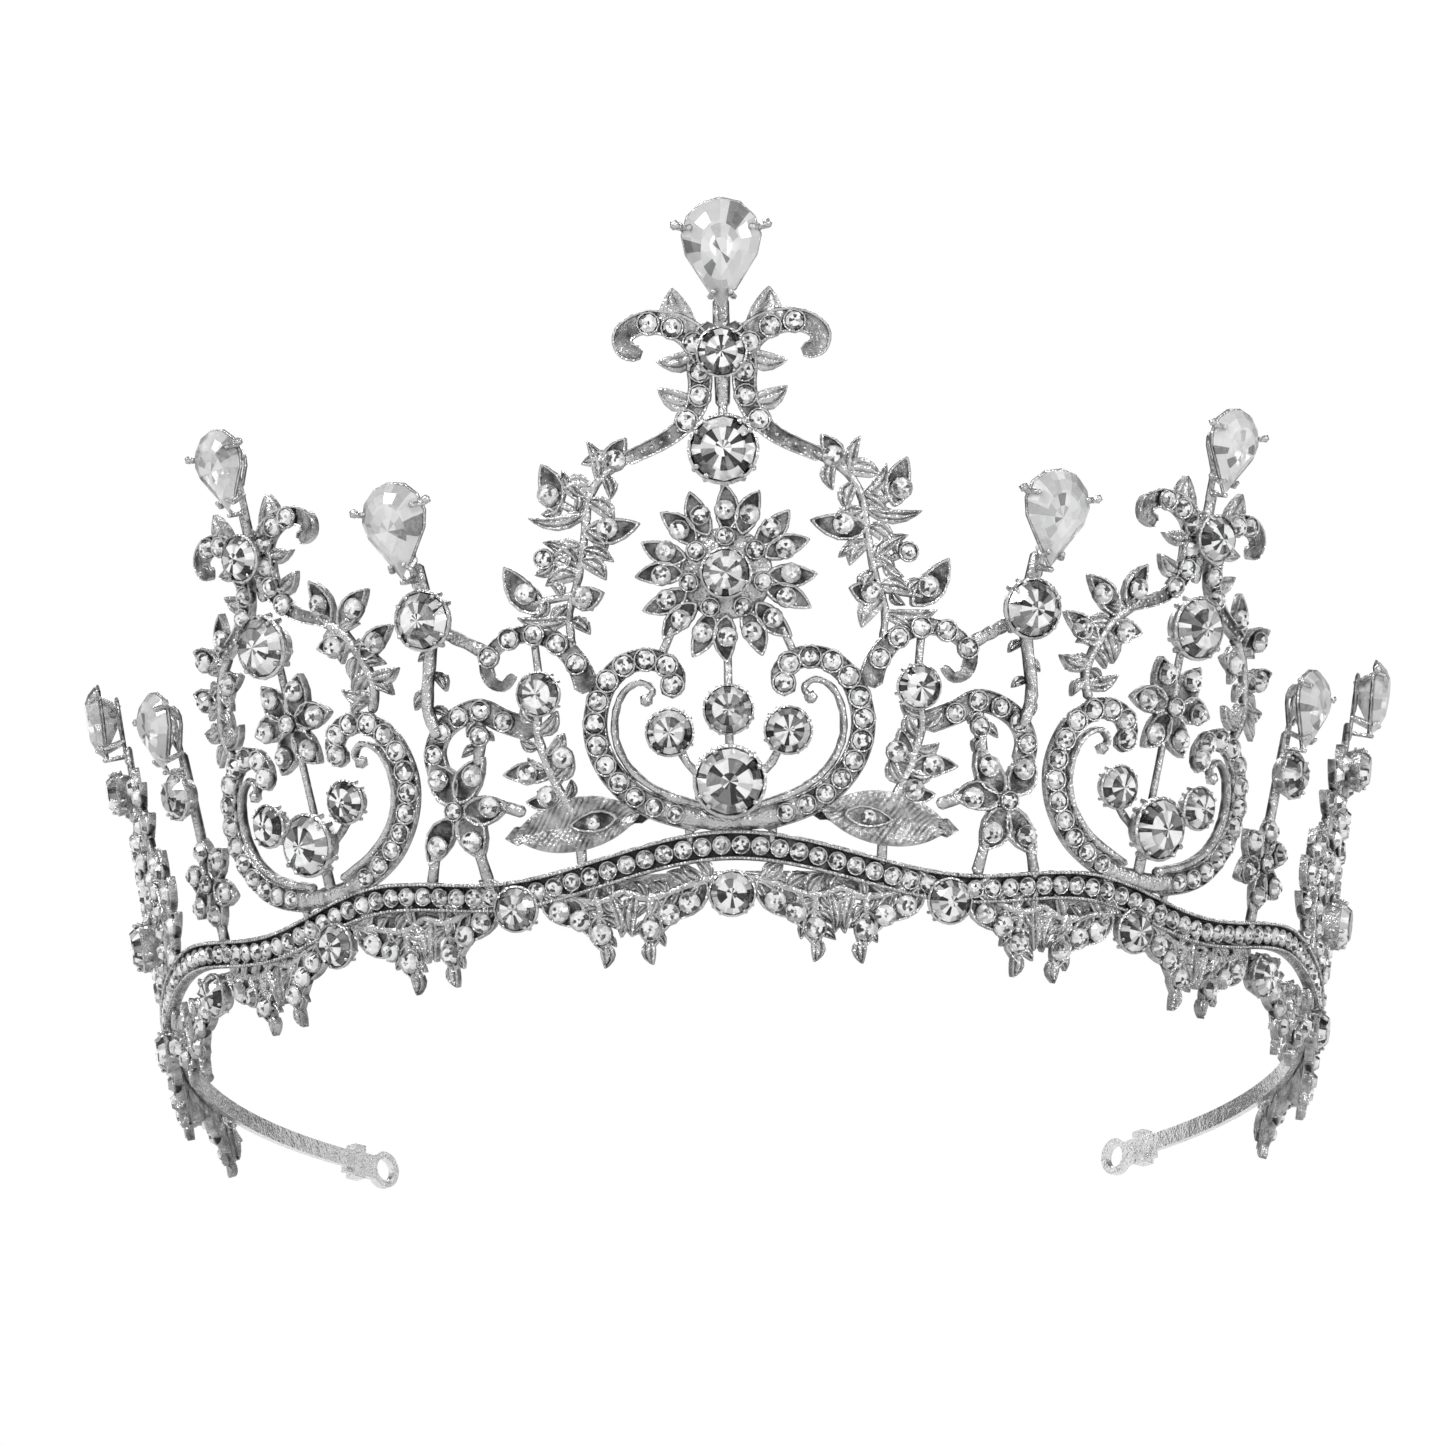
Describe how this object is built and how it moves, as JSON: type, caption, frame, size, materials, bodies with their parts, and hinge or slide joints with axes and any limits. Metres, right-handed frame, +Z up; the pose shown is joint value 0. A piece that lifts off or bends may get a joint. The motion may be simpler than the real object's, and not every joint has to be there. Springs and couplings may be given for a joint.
{
  "type": "bridal tiara",
  "caption": "Free-standing bridal tiara: open headband strip with leaning pave castings, claw-set round crystals and pear-cut points.",
  "frame": {"origin": "middle of the footprint, on the surface that the tiara stands on", "axes": "+Z up, +X to the right of a viewer who faces the front, front towards -Y"},
  "size_m": [0.1618, 0.1508, 0.0779],
  "materials": {
    "antique_casting": "cast zinc alloy, silver plated, darkened in the recesses",
    "plated_strip": "bright plated spring strip",
    "pave_stone": "foil-backed faceted rhinestone",
    "round_crystal": "foil-backed faceted round crystal",
    "pear_crystal": "clear faceted pear crystal"
  },
  "bodies": {
    "root": {"arch_cup": "antique_casting", "back_finial_left": "antique_casting", "back_finial_right": "antique_casting", "centre_heart_left": "antique_casting", "centre_heart_right": "antique_casting", "centre_heart_stones": "pave_stone", "centre_rail": "antique_casting", "centre_round_crystals": "round_crystal", "crest_casting": "antique_casting", "crest_stones": "pave_stone", "daisy_left": "antique_casting", "daisy_right": "antique_casting", "daisy_stones": "pave_stone", "drop_spray": "antique_casting", "end_crystals": "round_crystal", "end_loop_left": "plated_strip", "end_loop_right": "plated_strip", "end_panel_left": "antique_casting", "end_panel_right": "antique_casting", "end_stones": "pave_stone", "engraved_leaves_left": "antique_casting", "engraved_leaves_right": "antique_casting", "gallery_centre": "antique_casting", "gallery_crystals": "round_crystal", "gallery_left": "antique_casting", "gallery_right": "antique_casting", "gallery_stones": "pave_stone", "headband_hoop": "plated_strip", "laurel_left": "antique_casting", "laurel_right": "antique_casting", "leaf_stones": "pave_stone", "left_rail": "antique_casting", "peak_pear_claws": "antique_casting", "peak_pear_crystal": "pear_crystal", "pear_crystals": "pear_crystal", "rail_stones": "pave_stone", "right_rail": "antique_casting", "rosette": "antique_casting", "rosette_stones": "pave_stone", "shoulder_crystals": "round_crystal", "shoulder_scroll_left": "antique_casting", "shoulder_scroll_right": "antique_casting", "shoulder_stones": "pave_stone", "side_crest_left": "antique_casting", "side_crest_right": "antique_casting", "side_crystals": "round_crystal", "side_heart_inner_left": "antique_casting", "side_heart_inner_right": "antique_casting", "side_heart_outer_left": "antique_casting", "side_heart_outer_right": "antique_casting", "side_heart_stones": "pave_stone", "side_spray_left": "antique_casting", "side_spray_right": "antique_casting", "side_stones": "pave_stone", "tail_leaves_left": "antique_casting", "tail_leaves_right": "antique_casting", "valley_finial_left": "antique_casting", "valley_finial_right": "antique_casting", "valley_round_crystals": "round_crystal"}
  },
  "joints": []
}
